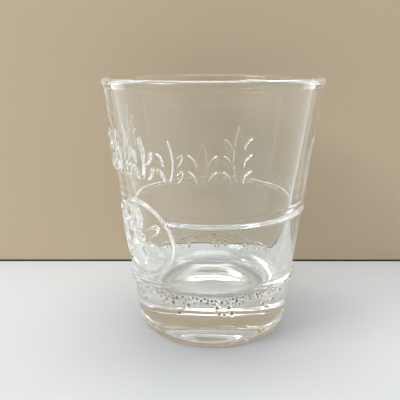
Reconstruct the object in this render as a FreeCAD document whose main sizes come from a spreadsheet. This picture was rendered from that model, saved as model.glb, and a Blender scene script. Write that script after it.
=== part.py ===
# A pressed shot glass: a thick foot, a tapered wall with a rolled rim, and moulded relief.
# The glass stands on z = 0, its axis is +Z, and the side with the relief faces -Y and -X.
# Azimuth is measured about +Z from -Y towards +X. Lengths are millimetres, angles are degrees.
import FreeCAD, Part
import math
import os
import random

import Sketcher

SIZES = {
    # outside of the glass: a straight cone from the foot to the seat of the rim bead
    "foot_radius": 18.1,
    "side_taper": 0.1136,
    "seat_height": 56.49,
    "heel_rounding": 1.2,
    "rim_radius": 25.0,
    "bead_radius": 1.05,
    # drinking cavity: a cone that runs into a flat floor through a large rounding
    "mouth_radius": 22.75,
    "cavity_taper": 0.152,
    "floor_height": 9.2,
    "floor_rounding": 7.0,
    # where the wall is taken to start
    "wall_foot_height": 10.4,
    # hollow under the foot
    "punt_radius": 12.5,
    "punt_depth": 1.3,
    # raised line round the waist
    "girdle_height": 29.3,
    "girdle_width": 1.1,
    "girdle_crown": 0.45,
    # emblem on the front
    "relief_height": 0.65,
    "emblem_azimuth": -47.5,
    "emblem_height": 25.0,
    "emblem_radius": 8.8,
    "emblem_band": 0.9,
    "boss_radius": 1.1,
    "petal_start": 1.7,
    "petal_tip": 6.8,
    "petal_arc": 3.6,
    # frieze of leaf sprigs above the emblem
    "sprig_foot": 38.6,
    "sprig_pitch": 16.7,
    "main_leaf_length": 9.0,
    "main_leaf_width": 2.0,
    "tier_step": 3.2,
    "leaf_gap": 1.15,
    "leaf_reach": 1.7,
    "leaf_rise": 3.0,
    "leaf_arc": 2.6,
    # stippled band above the heel
    "stipple_foot": 8.6,
    "stipple_band": 4.4,
    "stipple_height": 0.3,
    "bead_smallest": 0.2,
    "bead_spread": 0.25,
    "bead_gap": 0.05,
}

SPRIG_TIERS = [3, 2, 2, 2, 2, 2, 2, 3]
PETALS = 6

# The beads: how many, in how many lobes, how much of the band the lobes take, how strongly the
# beads crowd under the top line, and the radius on which their gaps are measured.
STIPPLE_BEADS = 300
STIPPLE_LOBES = 11
LOBE_SHARE = 0.8
CROWDING = 2.5
STIPPLE_RADIUS = 19.4
STIPPLE_SEED = 7


class Size:
    """A length that is known both as a number and as the sheet expression that gives it."""

    def __init__(self, value, text):
        self.value = value
        self.text = text

    def joined(self, other, sign, value):
        return Size(value, f"({self.text} {sign} {other.text})")

    def __add__(self, other):
        other = as_size(other)
        return self.joined(other, "+", self.value + other.value)

    def __sub__(self, other):
        other = as_size(other)
        return self.joined(other, "-", self.value - other.value)

    def __mul__(self, other):
        other = as_size(other)
        return self.joined(other, "*", self.value * other.value)

    def __truediv__(self, other):
        other = as_size(other)
        return self.joined(other, "/", self.value / other.value)

    def root(self):
        return Size(math.sqrt(self.value), f"sqrt({self.text})")


def as_size(number):
    return number if isinstance(number, Size) else Size(float(number), repr(float(number)))


def make_sheet(doc):
    """Writes the driving sizes to the sheet and returns them by name."""
    sheet = doc.addObject("Spreadsheet::Sheet", "Sizes")
    for row, (name, value) in enumerate(SIZES.items(), start=1):
        sheet.set(f"A{row}", name)
        sheet.set(f"B{row}", str(value))
        sheet.setAlias(f"B{row}", name)
    doc.recompute()
    return {name: Size(value, f"Sizes.{name}") for name, value in SIZES.items()}


def bind(thing, **sizes):
    """Binds properties of a document object to sheet expressions."""
    for name, size in sizes.items():
        thing.setExpression(name, as_size(size).text)
    return thing


def radial(azimuth, height=0.0):
    """Placement that turns a shape drawn on the XZ plane, facing -Y, to an azimuth."""
    about_axis = FreeCAD.Rotation(FreeCAD.Vector(0, 0, 1), azimuth)
    return FreeCAD.Placement(FreeCAD.Vector(0, 0, height), about_axis)


def new_body(doc, label):
    """A body with an empty sketch on its XZ plane, where sketch Y is the glass's height."""
    body = doc.addObject("PartDesign::Body", label)
    body.Label = label
    body.AllowCompound = True
    plane = [face for face in body.Origin.OriginFeatures if face.Role == "XZ_Plane"][0]
    sketch = body.newObject("Sketcher::SketchObject", label + "_sketch")
    sketch.AttachmentSupport = (plane, [""])
    sketch.MapMode = "FlatFace"
    return body, sketch


def fix(sketch, kind, where, size):
    """Adds one constraint with a value and binds the value to the sheet."""
    index = sketch.addConstraint(Sketcher.Constraint(kind, *where, size.value))
    sketch.setExpression(f"Constraints[{index}]", size.text)


def fix_point(sketch, edge, end, point):
    """Fixes an end of an edge at a pair of sizes measured from the sketch's origin."""
    fix(sketch, "DistanceX", (-1, 1, edge, end), as_size(point[0]))
    fix(sketch, "DistanceY", (-1, 1, edge, end), as_size(point[1]))


def vector(point):
    return FreeCAD.Vector(as_size(point[0]).value, as_size(point[1]).value, 0)


def arc_between(start, end, radius, large=False):
    """The counter-clockwise arc of a given radius from start to end."""
    chord = end - start
    middle = (start + end) * 0.5
    to_centre = FreeCAD.Vector(-chord.y, chord.x, 0).normalize()
    reach = math.sqrt(max(radius**2 - (chord.Length / 2) ** 2, 0.0))
    centre = middle + to_centre * (-reach if large else reach)
    first = math.atan2(start.y - centre.y, start.x - centre.x)
    last = math.atan2(end.y - centre.y, end.x - centre.x)
    circle = Part.Circle(centre, FreeCAD.Vector(0, 0, 1), radius)
    return Part.ArcOfCircle(circle, first, last if last > first else last + 2 * math.pi)


def draw_profile(sketch, corners):
    """Draws a closed outline. Each corner is a point and how the edge after it runs.

    An edge is "line", or ("arc", radius) for the short counter-clockwise arc, ("large arc",
    radius) for the long one, or ("back arc", radius) for the short clockwise one.
    """
    count = len(corners)
    ends = []
    for index, (point, run) in enumerate(corners):
        start = vector(point)
        stop = vector(corners[(index + 1) % count][0])
        if run == "line":
            edge = sketch.addGeometry(Part.LineSegment(start, stop), False)
            ends.append((edge, 1, 2))
        else:
            kind, radius = run
            backwards = kind == "back arc"
            pair = (stop, start) if backwards else (start, stop)
            arc = arc_between(*pair, radius.value, large=kind == "large arc")
            edge = sketch.addGeometry(arc, False)
            ends.append((edge, 2, 1) if backwards else (edge, 1, 2))
    for index, (point, _) in enumerate(corners):
        edge, first, last = ends[index]
        following, its_first, _ = ends[(index + 1) % count]
        sketch.addConstraint(Sketcher.Constraint("Coincident", edge, last, following, its_first))
        fix_point(sketch, edge, first, point)
    for (edge, _, _), (_, run) in zip(ends, corners):
        if run != "line":
            fix(sketch, "Radius", (edge,), run[1])


def draw_leaf(sketch, foot, tip, radius):
    """A pointed leaf: two arcs of one radius that meet at its foot and its tip."""
    draw_profile(sketch, [(foot, ("arc", radius)), (tip, ("arc", radius))])


def draw_circle(sketch, centre, radius):
    circle = Part.Circle(vector(centre), FreeCAD.Vector(0, 0, 1), radius.value)
    edge = sketch.addGeometry(circle, False)
    fix_point(sketch, edge, 3, centre)
    fix(sketch, "Radius", (edge,), radius)


def revolve(body, sketch):
    revolution = body.newObject("PartDesign::Revolution", body.Label + "_revolution")
    revolution.Profile = sketch
    revolution.ReferenceAxis = (sketch, ["V_Axis"])
    revolution.Angle = 360.0
    sketch.Visibility = False
    body.Tip = revolution
    return revolution


def pad(body, sketch, length):
    feature = body.newObject("PartDesign::Pad", body.Label + "_pad")
    feature.Profile = sketch
    bind(feature, Length=length)
    body.Tip = feature
    return feature


def side_radius(s, height):
    """Outer radius of the glass at a height."""
    return s["foot_radius"] + s["side_taper"] * height


def crown_radius(half_width, rise):
    """Radius of a shallow arc from its half width and its rise."""
    return (half_width * half_width + rise * rise) / (rise * 2)


def ring_edge(shape, radius, height):
    """Name of the circular edge about the axis with a given radius and height."""
    for number, edge in enumerate(shape.Edges, start=1):
        if edge.Degenerated or not isinstance(edge.Curve, Part.Circle):
            continue
        ring = edge.Curve
        if abs(ring.Radius - radius) < 0.01 and abs(ring.Center.z - height) < 0.01:
            return f"Edge{number}"
    raise ValueError(f"there is no ring of radius {radius} at height {height}")


def fillet_ring(body, name, radius_at, height, rounding):
    """Rounds one circular edge of a body."""
    body.Document.recompute()
    solid = body.Tip
    edge = ring_edge(solid.Shape, radius_at.value, height.value)
    fillet = body.newObject("PartDesign::Fillet", name)
    fillet.Base = (solid, [edge])
    bind(fillet, Radius=rounding)
    body.Tip = fillet
    return fillet


class FloorRounding:
    """The rounding between the cavity's floor and its wall, as points of the section."""

    def __init__(self, s):
        taper = s["cavity_taper"]
        slant = (taper * taper + 1).root()
        self.radius = s["floor_rounding"]
        corner = s["mouth_radius"] - taper * (s["seat_height"] - s["floor_height"])
        axis = corner + (taper - slant) * self.radius
        level = s["floor_height"] + self.radius
        below = level - s["wall_foot_height"]
        self.at_floor = (axis, s["floor_height"])
        self.at_joint = (axis + (self.radius * self.radius - below * below).root(), s["wall_foot_height"])
        self.at_wall = (axis + self.radius / slant, level - self.radius * taper / slant)


def make_base(doc, s):
    """Thick foot with a bearing ring, a hollow underneath and the cavity's floor on top."""
    body, sketch = new_body(doc, "base")
    rounding = FloorRounding(s)
    punt_arc = crown_radius(s["punt_radius"], s["punt_depth"])
    centre_line = as_size(0)
    corners = [
        ((centre_line, s["punt_depth"]), ("back arc", punt_arc)),
        ((s["punt_radius"], centre_line), "line"),
        ((s["foot_radius"], centre_line), "line"),
        ((side_radius(s, s["wall_foot_height"]), s["wall_foot_height"]), "line"),
        (rounding.at_joint, ("back arc", rounding.radius)),
        (rounding.at_floor, "line"),
        ((centre_line, s["floor_height"]), "line"),
    ]
    draw_profile(sketch, corners)
    revolve(body, sketch)
    fillet_ring(body, "heel_fillet", s["foot_radius"], as_size(0), s["heel_rounding"])
    return body


def make_wall(doc, s):
    """Tapered wall between the foot and the rim, thicker where it runs into the floor."""
    body, sketch = new_body(doc, "wall")
    rounding = FloorRounding(s)
    corners = [
        (rounding.at_joint, "line"),
        ((side_radius(s, s["wall_foot_height"]), s["wall_foot_height"]), "line"),
        ((side_radius(s, s["seat_height"]), s["seat_height"]), "line"),
        ((s["mouth_radius"], s["seat_height"]), "line"),
        (rounding.at_wall, ("back arc", rounding.radius)),
    ]
    draw_profile(sketch, corners)
    revolve(body, sketch)
    return body


def make_rim(doc, s):
    """Fire-polished bead round the mouth, a little proud of the wall."""
    body, sketch = new_body(doc, "rim")
    seat_radius = side_radius(s, s["seat_height"])
    bead_axis = s["rim_radius"] - s["bead_radius"]
    outward = (seat_radius - bead_axis).value
    bead_rise = math.sqrt(s["bead_radius"].value ** 2 - outward**2)
    corners = [
        ((s["mouth_radius"], s["seat_height"]), "line"),
        ((seat_radius, s["seat_height"]), ("large arc", s["bead_radius"])),
        ((bead_axis - s["bead_radius"], s["seat_height"] + bead_rise), "line"),
    ]
    draw_profile(sketch, corners)
    revolve(body, sketch)
    return body


def make_cone(doc, name, s, proud):
    """Cone that follows the side of the glass, standing proud of it by a given amount."""
    cone = doc.addObject("Part::Cone", name)
    top = side_radius(s, s["seat_height"])
    return bind(cone, Radius1=s["foot_radius"] + proud, Radius2=top + proud, Height=s["seat_height"])


def make_skin(doc, name, s, proud):
    """Thin conical skin on the outside of the glass, from which the relief is cut."""
    skin = doc.addObject("Part::Cut", name)
    skin.Base = make_cone(doc, name + "_outside", s, proud)
    skin.Tool = make_cone(doc, name + "_inside", s, as_size(0))
    return skin


def press(doc, label, stamp, skin):
    """Relief of one stamp: the part of the skin that lies inside it."""
    relief = doc.addObject("Part::Common", label)
    relief.Base = stamp
    relief.Tool = skin
    relief.Label = label
    return relief


def emblem_cylinder(doc, name, s, radius):
    """Cylinder through the emblem's middle, from the axis of the glass outwards."""
    cylinder = doc.addObject("Part::Cylinder", name)
    bind(cylinder, Radius=radius, Height=s["rim_radius"] * 2)
    azimuth = s["emblem_azimuth"].value
    outwards = FreeCAD.Rotation(FreeCAD.Vector(1, 0, 0), 90)
    about_axis = FreeCAD.Rotation(FreeCAD.Vector(0, 0, 1), azimuth)
    middle = FreeCAD.Vector(0, 0, s["emblem_height"].value)
    cylinder.Placement = FreeCAD.Placement(middle, about_axis.multiply(outwards))
    return cylinder


def make_emblem_ring(doc, s, skin):
    tube = doc.addObject("Part::Cut", "emblem_tube")
    tube.Base = emblem_cylinder(doc, "emblem_outside", s, s["emblem_radius"])
    tube.Tool = emblem_cylinder(doc, "emblem_inside", s, s["emblem_radius"] - s["emblem_band"])
    return press(doc, "emblem_ring", tube, skin)


def make_rosette(doc, s, skin):
    """Six pointed petals and a round boss inside the emblem's ring."""
    middle = as_size(0)
    petals, sketch = new_body(doc, "petal_stamp")
    draw_leaf(sketch, (middle, s["petal_start"]), (middle, s["petal_tip"]), s["petal_arc"])
    first = pad(petals, sketch, s["rim_radius"] * 2)
    pattern = petals.newObject("PartDesign::PolarPattern", "petal_pattern")
    pattern.Originals = [first]
    pattern.Axis = (sketch, ["N_Axis"])
    pattern.Angle = 360.0
    pattern.Occurrences = PETALS
    petals.Tip = pattern
    boss, sketch = new_body(doc, "boss_stamp")
    draw_circle(sketch, (middle, middle), s["boss_radius"])
    pad(boss, sketch, s["rim_radius"] * 2)
    for stamp in (petals, boss):
        stamp.Placement = radial(s["emblem_azimuth"].value, s["emblem_height"].value)
    return [press(doc, "rosette_petals", petals, skin), press(doc, "rosette_boss", boss, skin)]


def make_girdle(doc, s):
    """Raised half-round line round the waist, which stops at the emblem's ring."""
    body, sketch = new_body(doc, "girdle_bead")
    half = s["girdle_width"] / 2
    low = s["girdle_height"] - half
    high = s["girdle_height"] + half
    bead = ("arc", crown_radius(half, s["girdle_crown"]))
    draw_profile(sketch, [((side_radius(s, low), low), bead), ((side_radius(s, high), high), "line")])
    revolve(body, sketch)
    girdle = doc.addObject("Part::Cut", "girdle_line")
    girdle.Base = body
    girdle.Tool = emblem_cylinder(doc, "girdle_gap", s, s["emblem_radius"])
    girdle.Label = "girdle_line"
    return girdle


def make_sprig(doc, s, skin, number, tiers, azimuth):
    """One leaf sprig: a tall leaf and pairs of slanted leaves beside it."""
    body, sketch = new_body(doc, f"sprig_stamp_{number}")
    middle = as_size(0)
    foot = s["sprig_foot"]
    tall = s["main_leaf_length"] + s["tier_step"] * (tiers - 2)
    main_arc = crown_radius(tall / 2, s["main_leaf_width"] / 2)
    draw_leaf(sketch, (middle, foot), (middle, foot + tall), main_arc)
    for tier in range(tiers):
        root = foot + s["tier_step"] * tier
        for side in (-1, 1):
            near = s["leaf_gap"] * side
            far = (s["leaf_gap"] + s["leaf_reach"]) * side
            draw_leaf(sketch, (near, root), (far, root + s["leaf_rise"]), s["leaf_arc"])
    pad(body, sketch, s["rim_radius"] * 2)
    body.Placement = radial(azimuth)
    return press(doc, f"leaf_sprig_{number}", body, skin)


def make_frieze(doc, s, skin):
    """The row of sprigs, centred over the emblem."""
    middle = (len(SPRIG_TIERS) - 1) / 2
    sprigs = []
    for index, tiers in enumerate(SPRIG_TIERS):
        azimuth = s["emblem_azimuth"].value + (index - middle) * s["sprig_pitch"].value
        sprigs.append(make_sprig(doc, s, skin, index + 1, tiers, azimuth))
    return sprigs


def scattered_beads(s):
    """Azimuth, height and radius of each bead: crowded under one line, in lobes, never touching."""
    draw = random.Random(STIPPLE_SEED)
    beads = []
    while len(beads) < STIPPLE_BEADS:
        azimuth = 360 * draw.random()
        lobe = 0.5 + 0.5 * math.sin(math.radians(STIPPLE_LOBES * azimuth))
        depth = s["stipple_band"].value * (1 - LOBE_SHARE + LOBE_SHARE * lobe)
        drop = depth * draw.random() ** CROWDING
        height = s["stipple_foot"].value + s["stipple_band"].value - drop
        size = s["bead_smallest"].value + s["bead_spread"].value * draw.random()
        clear = True
        for other, level, reach in beads:
            along = math.radians((azimuth - other + 180) % 360 - 180) * STIPPLE_RADIUS
            clear = clear and math.hypot(along, height - level) > size + reach + s["bead_gap"].value
        if clear:
            beads.append((azimuth, height, size))
    return beads


def make_stipple(doc, s, skin):
    """Band of small raised beads in one group."""
    doc.recompute()
    reach = s["rim_radius"].value
    beads = []
    for azimuth, height, radius in scattered_beads(s):
        turn = math.radians(azimuth)
        outwards = FreeCAD.Vector(math.sin(turn), -math.cos(turn), 0)
        start = FreeCAD.Vector(0, 0, height)
        beads.append(Part.makeCylinder(radius, reach, start, outwards).common(skin.Shape))
    stipple = doc.addObject("Part::Feature", "heel_stipple")
    stipple.Shape = Part.makeCompound([solid for bead in beads for solid in bead.Solids])
    stipple.Label = "heel_stipple"
    return stipple


def check(doc, parts):
    """Stops if any object failed, or a part's shape is missing or not valid."""
    doc.recompute()
    failed = [item.Name for item in doc.Objects if {"Invalid", "Error"} & set(item.State)]
    failed += [part.Label for part in parts if part.Shape.isNull() or not part.Shape.isValid()]
    if failed:
        raise RuntimeError(f"these objects failed: {failed}")


def main():
    doc = FreeCAD.newDocument("shot_glass")
    s = make_sheet(doc)
    relief_skin = make_skin(doc, "relief_skin", s, s["relief_height"])
    stipple_skin = make_skin(doc, "stipple_skin", s, s["stipple_height"])
    parts = [make_base(doc, s), make_wall(doc, s), make_rim(doc, s), make_girdle(doc, s)]
    parts.append(make_emblem_ring(doc, s, relief_skin))
    parts += make_rosette(doc, s, relief_skin)
    parts += make_frieze(doc, s, relief_skin)
    parts.append(make_stipple(doc, s, stipple_skin))
    check(doc, parts)
    os.makedirs("parts", exist_ok=True)
    for part in parts:
        part.Shape.exportStep(f"parts/{part.Label}.step")
        box = part.Shape.BoundBox
        print(f"{part.Label}: {len(part.Shape.Solids)} solids, {part.Shape.Volume:.1f} mm3,",
              f"z {box.ZMin:.2f} to {box.ZMax:.2f}")


main()
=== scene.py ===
# A pressed shot glass on a pale table in front of a plain tan backdrop, in soft studio light.
# The glass is one moulding, so one closed mesh stands for all the CAD nodes.
import bpy
import math
import random

import numpy as np
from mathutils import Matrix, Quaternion, Vector


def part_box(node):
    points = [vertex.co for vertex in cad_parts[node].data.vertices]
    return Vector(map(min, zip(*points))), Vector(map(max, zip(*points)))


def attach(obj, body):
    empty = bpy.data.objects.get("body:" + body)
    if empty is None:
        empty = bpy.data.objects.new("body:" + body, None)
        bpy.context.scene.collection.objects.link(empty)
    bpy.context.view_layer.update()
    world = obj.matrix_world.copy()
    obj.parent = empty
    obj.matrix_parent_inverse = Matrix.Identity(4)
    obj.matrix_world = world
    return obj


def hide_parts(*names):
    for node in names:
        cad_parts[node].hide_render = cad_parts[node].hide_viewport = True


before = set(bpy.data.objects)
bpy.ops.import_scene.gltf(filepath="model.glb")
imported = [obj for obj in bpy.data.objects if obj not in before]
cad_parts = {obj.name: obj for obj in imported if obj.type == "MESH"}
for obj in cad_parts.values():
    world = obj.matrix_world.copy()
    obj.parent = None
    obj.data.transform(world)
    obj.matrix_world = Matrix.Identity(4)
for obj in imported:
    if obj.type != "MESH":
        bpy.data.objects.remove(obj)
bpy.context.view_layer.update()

MM = 0.001

# Section of the glass, in millimetres, where the frame's boxes don't give it. Its corners are
# softened by a Gaussian of width SECTION_SOFTNESS, on points SECTION_STEP apart.
MOUTH_RADIUS = 22.75
CAVITY_TAPER = 0.152
FLOOR_HEIGHT = 9.2
FLOOR_ROUNDING = 7.0
PUNT_RADIUS = 12.5
PUNT_DEPTH = 1.3
HEEL_ROUNDING = 1.2
BEAD_RADIUS = 1.05
SECTION_STEP = 0.02
SECTION_SOFTNESS = 0.16

# Mesh: plain columns round the glass, and how far apart its plain rows are, in millimetres. A
# cell is split FINE times each way where the relief in it varies by more than FLAT_ENOUGH. The
# rows are closer near relief, at the rim, at the floor's rounding and at the heel, and the change
# in spacing is spread over SPACING_BLUR points of the section each way.
COLUMNS = 204
FINE = 5
FLAT_ENOUGH = 0.02
SIDE_ROW = 1.0
CAVITY_ROW = 1.6
RELIEF_ROW = 0.69
RIM_ROW = 0.2
ROUNDING_ROW = 0.5
HEEL_ROW = 0.22
STIPPLE_MARGIN = 0.8
RELIEF_MARGIN = 0.4
RIM_ZONE = 1.0
FLAT_FLOOR_RADIUS = 9.0
HEEL_TOP = 1.4
HEEL_RADIUS = 16.8
SPACING_BLUR = 25

# Relief, in millimetres and degrees of azimuth about +Z from -Y towards +X. It lies between
# RELIEF_CLEAR below the stipple and RELIEF_CLEAR below the rim, and the emblem and each sprig
# reach less than MOULD_REACH round the glass from their own middles.
RELIEF_HEIGHT = 0.65
RELIEF_EDGE = 0.26
RELIEF_CLEAR = 2.0
MOULD_REACH = 80.0
FAR_AWAY = 1000.0
EMBLEM_AZIMUTH = -47.5
EMBLEM_BAND = 0.9
PETALS = 6
PETAL_START = 1.7
PETAL_TIP = 6.8
PETAL_ARC = 3.6
GIRDLE_CROWN = 0.45
GIRDLE_OVERLAP = 0.3
SPRIG_PITCH = 16.7
SPRIG_TIERS = [3, 2, 2, 2, 2, 2, 2, 3]
TIER_STEP = 3.2
MAIN_LEAF_LENGTH = 9.0
MAIN_LEAF_WIDTH = 2.0
LEAF_GAP = 1.15
LEAF_REACH = 1.7
LEAF_RISE = 3.0
LEAF_ARC = 2.6
STIPPLE_BEADS = 300
STIPPLE_SEED = 7
STIPPLE_FOOT = 8.6
STIPPLE_BAND = 4.4
STIPPLE_LOBES = 11
LOBE_SHARE = 0.8
CROWDING = 2.5
STIPPLE_RADIUS = 19.4
STIPPLE_HEIGHT = 0.3
BEAD_EDGE = 0.04
BEAD_SMALLEST = 0.2
BEAD_SPREAD = 0.25
BEAD_GAP = 0.05

# Glass colours: the moulding itself, and the beads, which look dark against it. The beads' dark colour
# is painted shade: the real beads are the same clear glass.
CLEAR_TINT = (0.975, 0.99, 0.975, 1.0)
BEAD_PAINTED_SHADE = (0.03, 0.026, 0.02, 1.0)
BEAD_ROUGHNESS = 0.1

# Stage, in metres: the table, with painted light where the foot covers it (a whiter patch that stands
# in for the light that comes through the glass), and the backdrop behind the glass, which stands on a
# thin strip of painted shadow that fills the gap under it.
TABLE_HALF = 1.2
TABLE_GAP = 0.00005
PAINTED_LIGHT_RADIUS = 0.014
PAINTED_LIGHT_EDGE = 0.017
BACKDROP_HALF = 0.075
BACKDROP_TOP = 0.082
BACKDROP_PLACE = 0.032
# Height of the gap under the backdrop, which a dark strip of painted shadow fills.
BACKDROP_GAP = 0.0006

# Softboxes, which all face one point: name, place and size in metres, power in watts.
LIGHT_AIM = (0, 0, 0.03)
SOFTBOXES = [
    ("key_softbox", (-0.5, -0.25, 0.6), (0.3, 0.3), 2.7),
    ("ceiling", (0.0, 0.05, 0.8), (0.5, 0.3), 2.4),
    ("back_softbox", (0.05, 0.38, 0.45), (0.5, 0.2), 0.8),
    ("left_panel", (-0.5, 0.25, 0.2), (0.3, 0.4), 0.7),
    ("right_panel", (0.5, 0.25, 0.2), (0.3, 0.4), 0.6),
]

# Camera: place in millimetres, turns in radians.
LENS = 44.61
CAMERA_PLACE = (-2.26, -115.49, 61.98)
CAMERA_PITCH = 0.275
CAMERA_YAW = -0.006
CAMERA_ROLL = -0.002
BOUNCES = 64


def node_box(name):
    """A CAD node's box in millimetres, as two arrays."""
    low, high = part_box(name)
    return np.array(low) / MM, np.array(high) / MM


def levels(name):
    """The heights of a CAD node's foot and top in millimetres."""
    low, high = node_box(name)
    return low[2], high[2]


def top_and_radius(name):
    """The height of a round CAD node's top and its largest radius, in millimetres."""
    high = node_box(name)[1]
    return high[2], high[0]


def middle_and_tallness(name):
    """The height of a CAD node's middle and how tall it is, in millimetres."""
    low, high = levels(name)
    return (low + high) / 2, high - low


class Glass:
    """The sizes of the glass that the frame gives, in millimetres."""

    foot_top, foot_top_radius = top_and_radius("base")
    seat, seat_radius = top_and_radius("wall")
    rim_top, rim_radius = top_and_radius("rim")
    taper = (seat_radius - foot_top_radius) / (seat - foot_top)
    girdle, girdle_width = middle_and_tallness("girdle_line")
    emblem, emblem_width = middle_and_tallness("emblem_ring")
    emblem_radius = emblem_width / 2
    boss_radius = middle_and_tallness("rosette_boss")[1] / 2
    sprig_foot, sprig_top = levels("leaf_sprig_1")


def side_radius(height):
    """Outer radius of the plain cone at a height."""
    return Glass.foot_top_radius + Glass.taper * (height - Glass.foot_top)


# ---------------------------------------------------------------- section


def arc(centre, radius, first, last, steps=60):
    """Points along an arc, from one direction to another in degrees."""
    turn = np.radians(np.linspace(first, last, steps))
    return [(centre[0] + radius * math.cos(a), centre[1] + radius * math.sin(a)) for a in turn]


def hollow():
    """The shallow arc under the foot, from the axis outwards."""
    radius = (PUNT_RADIUS**2 + PUNT_DEPTH**2) / (2 * PUNT_DEPTH)
    half_turn = math.degrees(math.asin(PUNT_RADIUS / radius))
    return arc((0, PUNT_DEPTH - radius), radius, 90, 90 - half_turn)


def section():
    """The section from the middle of the underside, round the rim, to the middle of the floor."""
    heel = HEEL_ROUNDING
    foot = side_radius(0)
    slope = math.degrees(math.atan(Glass.taper))
    heel_reach = heel * math.tan(math.radians(90 - slope) / 2)
    bead_axis = Glass.rim_radius - BEAD_RADIUS
    bead_height = Glass.rim_top - BEAD_RADIUS
    seat_angle = -math.degrees(math.acos((Glass.seat_radius - bead_axis) / BEAD_RADIUS))
    cavity_slope = math.degrees(math.atan(CAVITY_TAPER))
    corner = MOUTH_RADIUS - CAVITY_TAPER * (Glass.seat - FLOOR_HEIGHT)
    rounding_axis = corner - FLOOR_ROUNDING * (math.hypot(1, CAVITY_TAPER) - CAVITY_TAPER)
    rounding_middle = (rounding_axis, FLOOR_HEIGHT + FLOOR_ROUNDING)
    points = hollow()
    points += arc((foot - heel_reach, heel), heel, -90, -slope)
    points += arc((bead_axis, bead_height), BEAD_RADIUS, seat_angle, 180)
    points += [(MOUTH_RADIUS, Glass.seat)]
    points += arc(rounding_middle, FLOOR_ROUNDING, -cavity_slope, -90)
    points += [(0, FLOOR_HEIGHT)]
    return np.array(points)


def resampled(points, step):
    """Points at an even spacing along a line, and the distance of each one along it."""
    runs = np.hypot(*np.diff(points, axis=0).T)
    along = np.concatenate([[0], np.cumsum(runs)])
    places = np.linspace(0, along[-1], int(along[-1] / step) + 1)
    return np.stack([np.interp(places, along, points[:, i]) for i in (0, 1)], axis=1), places


def softened(points, step, softness):
    """The line with its corners rounded by a Gaussian, its ends on the axis kept."""
    reach = int(4 * softness / step)
    weights = np.exp(-0.5 * (np.arange(-reach, reach + 1) * step / softness) ** 2)
    weights /= weights.sum()
    mirror = np.array([-1, 1])
    before = points[1 : reach + 1][::-1] * mirror
    after = points[-reach - 1 : -1][::-1] * mirror
    padded = np.concatenate([before, points, after])
    soft = np.stack([np.convolve(padded[:, i], weights, "valid") for i in (0, 1)], axis=1)
    soft[[0, -1], 0] = 0
    return soft


def row_spacing(radius, height, outside):
    """How far apart the rows of the mesh are at a place on the section, in millimetres."""
    emblem_foot, emblem_top = levels("emblem_ring")
    relief = [
        (STIPPLE_FOOT, STIPPLE_FOOT + STIPPLE_BAND, STIPPLE_MARGIN),
        (emblem_foot, emblem_top, RELIEF_MARGIN),
        (Glass.sprig_foot, Glass.sprig_top, RELIEF_MARGIN),
    ]
    spacing = np.where(outside, SIDE_ROW, CAVITY_ROW)
    for low, high, margin in relief:
        inside = outside & (height > low - margin) & (height < high + margin)
        spacing = np.where(inside, RELIEF_ROW, spacing)
    spacing = np.where(height > Glass.seat - RIM_ZONE, RIM_ROW, spacing)
    low_down = ~outside & (height < FLOOR_HEIGHT + FLOOR_ROUNDING)
    spacing = np.where(low_down & (radius > FLAT_FLOOR_RADIUS), ROUNDING_ROW, spacing)
    heel = outside & (height < HEEL_TOP) & (radius > HEEL_RADIUS)
    return np.where(heel, HEEL_ROW, spacing)


def section_rows():
    """The fine rows of the mesh: radius, height and whether each is outside.

    Each FINE rows make one plain row. The rows between are used only where cells are split.
    """
    even, _ = resampled(section(), SECTION_STEP)
    even = softened(even, SECTION_STEP, SECTION_SOFTNESS)
    even, along = resampled(even, SECTION_STEP)
    top = int(np.argmax(even[:, 1]))
    outside = np.arange(len(even)) < top
    density = SECTION_STEP / row_spacing(even[:, 0], even[:, 1], outside)
    window = 2 * SPACING_BLUR + 1
    density = np.pad(density, SPACING_BLUR, mode="edge")
    density = np.convolve(density, np.ones(window) / window, "valid")
    count = np.concatenate([[0], np.cumsum(density[1:])])
    cells = int(count[-1])
    rows = np.interp(np.linspace(0, count[-1], cells * FINE + 1), count, along)
    radius = np.interp(rows, along, even[:, 0])
    height = np.interp(rows, along, even[:, 1])
    return radius, height, rows < along[top]


# ---------------------------------------------------------------- relief


def raised(distance, edge=RELIEF_EDGE):
    """1 well inside an outline and 0 outside it, with a rounded edge of a given width."""
    t = np.clip(-distance / edge, 0, 1)
    return t * t * (3 - 2 * t)


def leaf(across, up, foot, tip, radius):
    """Signed distance from a pointed leaf between two points, negative inside."""
    foot, tip = np.array(foot), np.array(tip)
    chord = tip - foot
    length = np.hypot(*chord)
    side = np.array([-chord[1], chord[0]]) / length
    middle = (foot + tip) / 2
    back = math.sqrt(radius**2 - (length / 2) ** 2)
    left, right = middle + side * back, middle - side * back
    to_left = np.hypot(across - left[0], up - left[1])
    to_right = np.hypot(across - right[0], up - right[1])
    return np.maximum(to_left, to_right) - radius


def sprig(across, up, tiers):
    """Signed distance from a leaf sprig that stands on the origin."""
    tall = MAIN_LEAF_LENGTH + TIER_STEP * (tiers - 2)
    main_arc = (tall**2 + MAIN_LEAF_WIDTH**2) / (4 * MAIN_LEAF_WIDTH)
    nearest = leaf(across, up, (0, 0), (0, tall), main_arc)
    for tier in range(tiers):
        root = TIER_STEP * tier
        for side in (-1, 1):
            near = (LEAF_GAP * side, root)
            far = ((LEAF_GAP + LEAF_REACH) * side, root + LEAF_RISE)
            nearest = np.minimum(nearest, leaf(across, up, near, far, LEAF_ARC))
    return nearest


def turned_away(azimuth, centre):
    """Azimuth from a centre, between -180 and 180 degrees."""
    return (azimuth - centre + 180) % 360 - 180


def across_face(azimuth, centre, radius):
    """Sideways distance from a centre azimuth, as the mould that presses the relief sees it."""
    away = turned_away(azimuth, centre)
    return np.where(np.abs(away) < MOULD_REACH, radius * np.sin(np.radians(away)), FAR_AWAY)


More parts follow.
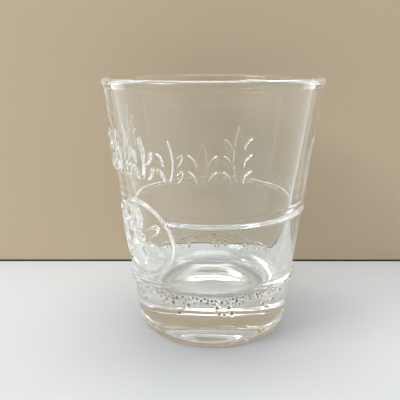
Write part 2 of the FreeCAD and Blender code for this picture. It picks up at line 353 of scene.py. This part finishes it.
def frieze(azimuth, radius, height):
    """Relief of the row of sprigs, centred over the emblem."""
    middle = (len(SPRIG_TIERS) - 1) / 2
    relief = np.zeros_like(azimuth)
    for index, tiers in enumerate(SPRIG_TIERS):
        centre = EMBLEM_AZIMUTH + (index - middle) * SPRIG_PITCH
        across = across_face(azimuth, centre, radius)
        relief = np.maximum(relief, raised(sprig(across, height - Glass.sprig_foot, tiers)))
    return relief * RELIEF_HEIGHT


def emblem(azimuth, radius, height):
    """Relief of the ring and the rosette in it, and the distance from their middle."""
    across = across_face(azimuth, EMBLEM_AZIMUTH, radius)
    up = height - Glass.emblem
    out = np.hypot(across, up)
    ring_middle = Glass.emblem_radius - EMBLEM_BAND / 2
    nearest = np.abs(out - ring_middle) - EMBLEM_BAND / 2
    nearest = np.minimum(nearest, out - Glass.boss_radius)
    for petal in range(PETALS):
        turn = 2 * math.pi * petal / PETALS
        side = across * math.cos(turn) - up * math.sin(turn)
        along = across * math.sin(turn) + up * math.cos(turn)
        petal_outline = leaf(side, along, (0, PETAL_START), (0, PETAL_TIP), PETAL_ARC)
        nearest = np.minimum(nearest, petal_outline)
    return raised(nearest) * RELIEF_HEIGHT, out


def girdle(height, from_emblem):
    """The half-round line, which stops at the emblem's ring."""
    away = np.clip(np.abs(height - Glass.girdle) / (Glass.girdle_width / 2), 0, 1)
    past_ring = from_emblem > Glass.emblem_radius - GIRDLE_OVERLAP
    return np.where(past_ring, GIRDLE_CROWN * (1 - away**2), 0)


def scattered_beads():
    """Azimuth, height and radius of each bead: crowded under one line, in lobes, never touching."""
    draw = random.Random(STIPPLE_SEED)
    beads = []
    while len(beads) < STIPPLE_BEADS:
        azimuth = 360 * draw.random()
        lobe = 0.5 + 0.5 * math.sin(math.radians(STIPPLE_LOBES * azimuth))
        drop = STIPPLE_BAND * (1 - LOBE_SHARE + LOBE_SHARE * lobe) * draw.random() ** CROWDING
        height = STIPPLE_FOOT + STIPPLE_BAND - drop
        size = BEAD_SMALLEST + BEAD_SPREAD * draw.random()
        clear = True
        for other, level, reach in beads:
            along = math.radians(turned_away(azimuth, other)) * STIPPLE_RADIUS
            clear = clear and math.hypot(along, height - level) > size + reach + BEAD_GAP
        if clear:
            beads.append((azimuth, height, size))
    return beads


def stipple(azimuth, radius, height):
    """Relief of the beads above the heel."""
    relief = np.zeros_like(azimuth)
    for centre, middle, size in scattered_beads():
        across = np.radians(turned_away(azimuth, centre)) * radius
        out = np.hypot(across, height - middle) / size
        relief = np.maximum(relief, STIPPLE_HEIGHT * np.clip(1 - out**2, 0, 1))
    return relief


def relief_of(azimuth, radius, height):
    """How far the surface stands proud of the plain cone, in millimetres."""
    mark, from_emblem = emblem(azimuth, radius, height)
    relief = np.maximum(mark, frieze(azimuth, radius, height))
    relief = np.maximum(relief, girdle(height, from_emblem))
    return np.maximum(relief, stipple(azimuth, radius, height))


# ---------------------------------------------------------------- mesh


def surface_points(turn, radius, height, outside):
    """Points of the glass and the relief at each, for arrays of one shape."""
    relief = np.zeros_like(turn)
    on_side = outside & (height > STIPPLE_FOOT - RELIEF_CLEAR) & (height < Glass.seat - RELIEF_CLEAR)
    relief[on_side] = relief_of(turn[on_side], radius[on_side], height[on_side])
    slope = math.atan(Glass.taper)
    out = radius + relief * math.cos(slope)
    up = height - relief * math.sin(slope)
    angle = np.radians(turn)
    return np.stack([out * np.sin(angle), -out * np.cos(angle), up], axis=-1), relief


def split_cells(relief):
    """Which plain cells hold enough relief to be split finely."""
    wrapped = np.concatenate([relief, relief[:, :1]], axis=1)
    rows = (len(relief) - 1) // FINE
    split = np.zeros((rows, COLUMNS), bool)
    for row in range(rows):
        band = wrapped[row * FINE : (row + 1) * FINE + 1]
        for column in range(COLUMNS):
            cell = band[:, column * FINE : (column + 1) * FINE + 1]
            split[row, column] = cell.max() - cell.min() > FLAT_ENOUGH
    return split


def plain_face(row, column, split):
    """Lattice places round one plain cell, with the extra ones where a neighbour is split."""
    top, left = row * FINE, column * FINE
    bottom, right = top + FINE, left + FINE
    sides = [
        ((top, left), (0, 1), (row - 1, column)),
        ((top, right), (1, 0), (row, column + 1)),
        ((bottom, right), (0, -1), (row + 1, column)),
        ((bottom, left), (-1, 0), (row, column - 1)),
    ]
    outline = []
    for start, (down, along), (next_row, next_column) in sides:
        steps = FINE if split[next_row, next_column % COLUMNS] else 1
        for step in range(steps):
            outline.append((start[0] + down * step, (start[1] + along * step) % (COLUMNS * FINE)))
    return outline


def fine_faces(row, column):
    """The small faces of one split cell."""
    faces = []
    for down in range(row * FINE, (row + 1) * FINE):
        for along in range(column * FINE, (column + 1) * FINE):
            beside = (along + 1) % (COLUMNS * FINE)
            faces.append([(down, along), (down, beside), (down + 1, beside), (down + 1, along)])
    return faces


def end_fans(rows):
    """Triangles round the middle of the underside and round the middle of the cavity's floor."""
    faces = []
    for ring, middle, order in [(1, 0, 1), (rows - 1, rows, -1)]:
        for column in range(COLUMNS):
            beside = (column + 1) % COLUMNS * FINE
            fan = [(ring * FINE, column * FINE), (middle * FINE, 0), (ring * FINE, beside)]
            faces.append(fan[::order])
    return faces


def lattice_faces(split):
    """Every face of the glass, as places on the lattice of fine rows and columns."""
    rows = len(split)
    faces = []
    for row in range(1, rows - 1):
        for column in range(COLUMNS):
            if split[row, column]:
                faces += fine_faces(row, column)
            else:
                faces.append(plain_face(row, column, split))
    return faces + end_fans(rows)


def glass_mesh():
    """One closed mesh: the section turned about the axis, split finely where relief is raised."""
    radius, height, outside = section_rows()
    columns_fine = COLUMNS * FINE
    azimuth = np.arange(columns_fine) * 360.0 / columns_fine
    turn, out = np.meshgrid(azimuth, radius)
    up = np.repeat(height[:, None], columns_fine, axis=1)
    side = np.repeat(outside[:, None], columns_fine, axis=1)
    points, relief = surface_points(turn, out, up, side)
    faces = lattice_faces(split_cells(relief))
    used = {place: number for number, place in enumerate(dict.fromkeys(p for f in faces for p in f))}
    spots = [tuple(points[place] * MM) for place in used]
    mesh = bpy.data.meshes.new("pressed_glass")
    mesh.from_pydata(spots, [], [[used[place] for place in face] for face in faces])
    mesh.update()
    mesh.polygons.foreach_set("use_smooth", np.ones(len(mesh.polygons), bool))
    # Faces wholly on the stipple beads take the second material, whose dark colour is painted shade.
    bead_painted_shade_mask = (relief > BEAD_EDGE) & side & (up < Glass.emblem - Glass.emblem_radius)
    mesh.polygons.foreach_set("material_index", [int(all(bead_painted_shade_mask[p] for p in face)) for face in faces])
    return mesh


def add_object(name, data):
    made = bpy.data.objects.new(name, data)
    bpy.context.scene.collection.objects.link(made)
    return made


# ---------------------------------------------------------------- materials


def new_material(name):
    material = bpy.data.materials.new(name)
    material.use_nodes = True
    tree = material.node_tree
    tree.nodes.clear()
    return material, tree


def add_node(tree, kind, **values):
    made = tree.nodes.new(kind)
    for name, value in values.items():
        made.inputs[name.replace("_", " ")].default_value = value
    return made


def glass_material(name, tint_and_painted_shade, roughness):
    """Clear pressed glass, with the slow waviness and the fine grain that the mould leaves. For the
    beads its colour is dark, which is painted shade.
    """
    material, tree = new_material(name)
    link = tree.links.new
    place = tree.nodes.new("ShaderNodeTexCoord")
    slow = add_node(tree, "ShaderNodeTexNoise", Scale=55.0, Detail=2.0, Roughness=0.4)
    fine = add_node(tree, "ShaderNodeTexNoise", Scale=420.0, Detail=2.0, Roughness=0.5)
    link(place.outputs["Object"], slow.inputs["Vector"])
    link(place.outputs["Object"], fine.inputs["Vector"])
    waves = add_node(tree, "ShaderNodeBump", Strength=0.5, Distance=0.0004)
    link(slow.outputs["Fac"], waves.inputs["Height"])
    grain = add_node(tree, "ShaderNodeBump", Strength=0.25, Distance=0.00002)
    link(fine.outputs["Fac"], grain.inputs["Height"])
    link(waves.outputs["Normal"], grain.inputs["Normal"])
    shader = add_node(tree, "ShaderNodeBsdfPrincipled", Roughness=roughness, IOR=1.5)
    shader.inputs["Base Color"].default_value = tint_and_painted_shade
    shader.inputs["Transmission Weight"].default_value = 1.0
    link(grain.outputs["Normal"], shader.inputs["Normal"])
    output = tree.nodes.new("ShaderNodeOutputMaterial")
    link(shader.outputs["BSDF"], output.inputs["Surface"])
    return material


def table_material():
    """Pale matt table top with a slight unevenness of tone, and painted light where the foot covers
    it: it is whiter there, standing in for the light that comes through the glass.
    """
    material, tree = new_material("pale_table")
    link = tree.links.new
    place = tree.nodes.new("ShaderNodeTexCoord")
    cloud = add_node(tree, "ShaderNodeTexNoise", Scale=18.0, Detail=4.0, Roughness=0.55)
    link(place.outputs["Object"], cloud.inputs["Vector"])
    ramp = tree.nodes.new("ShaderNodeValToRGB")
    ramp.color_ramp.elements[0].color = (0.52, 0.54, 0.56, 1)
    ramp.color_ramp.elements[1].color = (0.57, 0.58, 0.59, 1)
    link(cloud.outputs["Fac"], ramp.inputs["Fac"])
    away = tree.nodes.new("ShaderNodeVectorMath")
    away.operation = "LENGTH"
    link(place.outputs["Object"], away.inputs[0])
    # Painted light: the table turns whiter inside the circle under the foot, for the light that
    # reaches it through the glass.
    painted_light_patch = tree.nodes.new("ShaderNodeMapRange")
    painted_light_patch.inputs["From Min"].default_value = PAINTED_LIGHT_EDGE
    painted_light_patch.inputs["From Max"].default_value = PAINTED_LIGHT_RADIUS
    link(away.outputs["Value"], painted_light_patch.inputs["Value"])
    tone = tree.nodes.new("ShaderNodeMix")
    tone.data_type = "RGBA"
    link(painted_light_patch.outputs["Result"], tone.inputs["Factor"])
    link(ramp.outputs["Color"], tone.inputs["A"])
    tone.inputs["B"].default_value = (0.9, 0.9, 0.9, 1)
    shader = add_node(tree, "ShaderNodeBsdfPrincipled", Roughness=0.6)
    link(tone.outputs["Result"], shader.inputs["Base Color"])
    output = tree.nodes.new("ShaderNodeOutputMaterial")
    link(shader.outputs["BSDF"], output.inputs["Surface"])
    return material


def backdrop_material(name, colour):
    """Plain matt paper that is only there from its front, so it never hides the glass."""
    material, tree = new_material(name)
    link = tree.links.new
    shader = add_node(tree, "ShaderNodeBsdfDiffuse", Color=colour)
    clear = tree.nodes.new("ShaderNodeBsdfTransparent")
    side = tree.nodes.new("ShaderNodeNewGeometry")
    mix = tree.nodes.new("ShaderNodeMixShader")
    link(side.outputs["Backfacing"], mix.inputs["Fac"])
    link(shader.outputs["BSDF"], mix.inputs[1])
    link(clear.outputs["BSDF"], mix.inputs[2])
    output = tree.nodes.new("ShaderNodeOutputMaterial")
    link(mix.outputs["Shader"], output.inputs["Surface"])
    return material


# ---------------------------------------------------------------- pieces


def make_glass():
    glass = add_object("pressed_glass", glass_mesh())
    glass.data.materials.append(glass_material("clear_pressed_glass", CLEAR_TINT, 0.0))
    # The beads' material is painted shade: a dark colour on the same glass.
    glass.data.materials.append(glass_material("stippled_glass_painted_shade", BEAD_PAINTED_SHADE, BEAD_ROUGHNESS))
    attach(glass, "root")
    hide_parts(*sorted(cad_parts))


# ---------------------------------------------------------------- stage


def make_sheet(name, corners, material):
    """A flat sheet of the stage."""
    mesh = bpy.data.meshes.new(name)
    mesh.from_pydata(corners, [], [(0, 1, 2, 3)])
    mesh.materials.append(material)
    sheet = add_object(name, mesh)
    return sheet


def upright(low, high):
    """Corners of a sheet as wide as the backdrop, where it stands, that faces the glass."""
    wide, back = BACKDROP_HALF, BACKDROP_PLACE
    return [(-wide, back, low), (wide, back, low), (wide, back, high), (-wide, back, high)]


def make_stage():
    """The table just under the glass, and the backdrop behind it."""
    half, level = TABLE_HALF, -TABLE_GAP
    table = [(-half, -half, level), (half, -half, level), (half, half, level), (-half, half, level)]
    make_sheet("table", table, table_material())
    paper = backdrop_material("tan_backdrop", (0.68, 0.555, 0.395, 1.0))
    make_sheet("backdrop", upright(BACKDROP_GAP, BACKDROP_TOP), paper).visible_shadow = False
    # Painted shadow: a dark strip under the raised backdrop stands in for the shade in the gap between
    # the backdrop and the table.
    dark = backdrop_material("painted_gap_shadow", (0.03, 0.026, 0.02, 1.0))
    make_sheet("painted_shadow_strip", upright(0, BACKDROP_GAP), dark)


def make_softbox(name, place, size, power):
    light = bpy.data.lights.new(name, "AREA")
    light.shape = "RECTANGLE"
    light.size, light.size_y = size
    light.energy = power
    lamp = add_object(name, light)
    lamp.location = place
    lamp.rotation_mode = "QUATERNION"
    lamp.rotation_quaternion = (Vector(LIGHT_AIM) - Vector(place)).to_track_quat("-Z", "Y")


def make_lights():
    for softbox in SOFTBOXES:
        make_softbox(*softbox)
    bpy.context.scene.world = make_room()


def make_room():
    """Light from all round: brightest overhead, and darkest low down on the camera's side."""
    world = bpy.data.worlds.new("soft_room")
    world.use_nodes = True
    tree = world.node_tree
    tree.nodes.clear()
    link = tree.links.new
    place = tree.nodes.new("ShaderNodeTexCoord")
    split = tree.nodes.new("ShaderNodeSeparateXYZ")
    link(place.outputs["Generated"], split.inputs["Vector"])
    ramp = tree.nodes.new("ShaderNodeValToRGB")
    ramp.color_ramp.elements[0].position = 0.0
    ramp.color_ramp.elements[0].color = (0.60, 0.59, 0.56, 1)
    ramp.color_ramp.elements[1].position = 0.6
    ramp.color_ramp.elements[1].color = (0.72, 0.72, 0.72, 1)
    link(split.outputs["Z"], ramp.inputs["Fac"])
    front = tree.nodes.new("ShaderNodeMapRange")
    front.interpolation_type = "SMOOTHSTEP"
    front.inputs["From Min"].default_value = -0.95
    front.inputs["From Max"].default_value = -0.55
    front.inputs["To Min"].default_value = 0.2
    front.inputs["To Max"].default_value = 1.0
    link(split.outputs["Y"], front.inputs["Value"])
    background = tree.nodes.new("ShaderNodeBackground")
    link(ramp.outputs["Color"], background.inputs["Color"])
    link(front.outputs["Result"], background.inputs["Strength"])
    output = tree.nodes.new("ShaderNodeOutputWorld")
    link(background.outputs["Background"], output.inputs["Surface"])
    return world


def make_camera():
    """A close view from slightly above, a little left of the axis."""
    data = bpy.data.cameras.new("camera")
    data.sensor_width = 36.0
    data.lens = LENS
    data.clip_start = 0.005
    camera = add_object("camera", data)
    camera.location = Vector(CAMERA_PLACE) * MM
    across = math.cos(CAMERA_PITCH)
    down = -math.sin(CAMERA_PITCH)
    ahead = Vector((math.sin(CAMERA_YAW) * across, math.cos(CAMERA_YAW) * across, down))
    camera.rotation_mode = "QUATERNION"
    level = ahead.to_track_quat("-Z", "Y")
    camera.rotation_quaternion = level @ Quaternion((0, 0, 1), CAMERA_ROLL)
    bpy.context.scene.camera = camera


def set_rendering():
    """Plain colours, and enough bounces for light to get through both walls and the thick foot."""
    scene = bpy.context.scene
    scene.view_settings.view_transform = "Standard"
    scene.cycles.max_bounces = BOUNCES
    scene.cycles.transmission_bounces = BOUNCES
    scene.cycles.glossy_bounces = BOUNCES


make_camera()
make_stage()
make_lights()
make_glass()
set_rendering()
